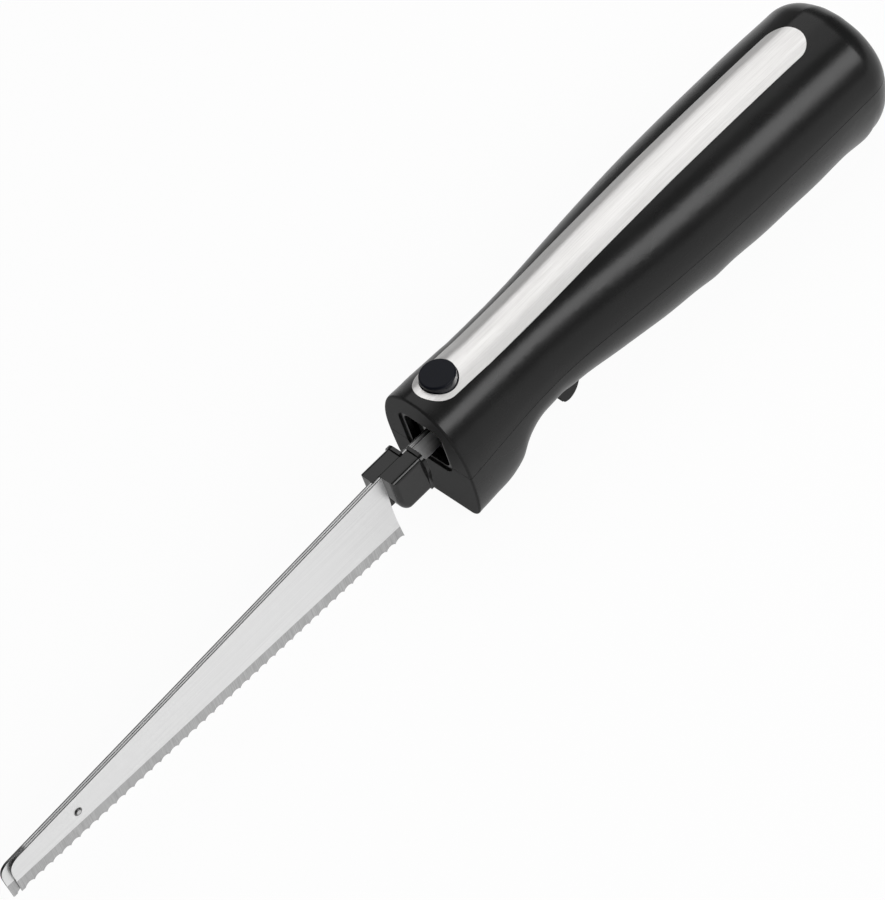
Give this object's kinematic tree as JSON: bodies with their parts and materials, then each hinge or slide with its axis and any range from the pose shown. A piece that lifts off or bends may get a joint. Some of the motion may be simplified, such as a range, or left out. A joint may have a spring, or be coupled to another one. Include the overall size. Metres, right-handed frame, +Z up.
{
  "type": "electric carving knife",
  "caption": "Electric carving knife: two serrated blades side by side in black holders, a black two-shell handle with a steel strip, release button and trigger.",
  "frame": {"origin": "under the middle of the whole knife at rest, on the level its handle rests on", "axes": "+X from the blades' tips to the handle's rear, +Z up, away from the cutting edges, +Y to the side of the blade without the rivet head"},
  "size_m": [0.425, 0.0528, 0.0576],
  "materials": {
    "handle_plastic": "satin gloss black",
    "holder_plastic": "gloss black",
    "strip_steel": "brushed along the handle",
    "blade_steel": "fine ground, with cross-ground bevels",
    "button_plastic": "satin blue-black",
    "trigger_plastic": "fine texture",
    "screw_steel": "bright zinc",
    "spring_steel": "drawn wire",
    "frame_steel": "pressed and sintered steel",
    "core_steel": "stacked sheets",
    "bush_bronze": "sintered bronze",
    "copper_wire": "enamelled copper",
    "guide_nylon": "natural white nylon",
    "switch_plastic": "moulded thermoset",
    "capacitor_plastic": "potted yellow box",
    "ring_rubber": "soft rubber",
    "gland_rubber": "soft rubber",
    "carbon": "pressed carbon"
  },
  "bodies": {
    "housing": {"lower_shell": "handle_plastic", "upper_shell": "handle_plastic", "trim_strip": "strip_steel", "shell_screws": "screw_steel", "guide_block": "switch_plastic", "button_spring": "spring_steel", "trigger_pin": "screw_steel", "switch_body": "switch_plastic", "gear_frame": "frame_steel", "wheel_axle": "screw_steel", "nose_bush": "bush_bronze", "front_bush": "bush_bronze", "rear_bush": "bush_bronze", "stator_core": "core_steel", "field_coils": "copper_wire", "motor_rings": "ring_rubber", "front_bracket": "frame_steel", "rear_bracket": "frame_steel", "motor_screws": "screw_steel", "brush_holders": "switch_plastic", "carbon_brushes": "carbon", "brush_springs": "spring_steel", "noise_capacitor": "capacitor_plastic", "cord_gland": "gland_rubber", "cord_clamp": "switch_plastic", "clamp_screws": "screw_steel"},
    "release_button": {"release_button": "button_plastic"},
    "trigger": {"trigger": "trigger_plastic", "trigger_spring": "spring_steel"},
    "switch_plunger": {"switch_plunger": "guide_nylon"},
    "rotor": {"motor_shaft": "screw_steel", "rotor_core": "core_steel", "rotor_windings": "copper_wire", "commutator": "copper_wire", "cooling_fan": "guide_nylon", "drive_worm": "frame_steel"},
    "crank_wheel": {"worm_wheel": "guide_nylon", "crank_pins": "screw_steel"},
    "near_blade": {"near_blade": "blade_steel", "near_blade_holder": "holder_plastic", "near_drive_bar": "frame_steel", "near_latch": "spring_steel", "blade_rivet": "blade_steel"},
    "far_blade": {"far_blade": "blade_steel", "far_blade_holder": "holder_plastic", "far_drive_bar": "frame_steel", "far_latch": "spring_steel"}
  },
  "joints": [
    {"name": "release_button_press", "type": "slide", "parent": "housing", "child": "release_button", "axis": [0, 0, -1], "range_m": [0, 0.003], "stiffness_N_per_m": 600, "springref_m": -0.002, "deforming": ["button_spring"]},
    {"name": "trigger_squeeze", "type": "hinge", "parent": "housing", "child": "trigger", "pos_m": [0.045, 0, 0.019], "axis": [0, -1, 0], "range_deg": [0, 10], "stiffness_Nm_per_rad": 0.3, "springref_deg": -11.46},
    {"name": "plunger_lift", "type": "slide", "parent": "housing", "child": "switch_plunger", "axis": [0, 0, 1], "range_m": [0, 0.0018]},
    {"name": "rotor_spin", "type": "hinge", "parent": "housing", "child": "rotor", "pos_m": [0.125, 0, 0.026], "axis": [1, 0, 0], "continuous": true},
    {"name": "crank_spin", "type": "hinge", "parent": "housing", "child": "crank_wheel", "pos_m": [0.079, 0, 0.0391], "axis": [0, 1, 0], "continuous": true},
    {"name": "near_blade_stroke", "type": "slide", "parent": "housing", "child": "near_blade", "axis": [-1, 0, 0], "range_m": [-0.00135, 0.00465]},
    {"name": "far_blade_stroke", "type": "slide", "parent": "housing", "child": "far_blade", "axis": [-1, 0, 0], "range_m": [-0.00465, 0.00135]}
  ],
  "couplings": [
    {"joint": "plunger_lift", "follows": "trigger_squeeze", "m_per_rad": 0.01},
    {"joint": "crank_spin", "follows": "rotor_spin", "ratio": 0.041667},
    {"joint": "far_blade_stroke", "follows": "near_blade_stroke", "ratio": -1}
  ]
}
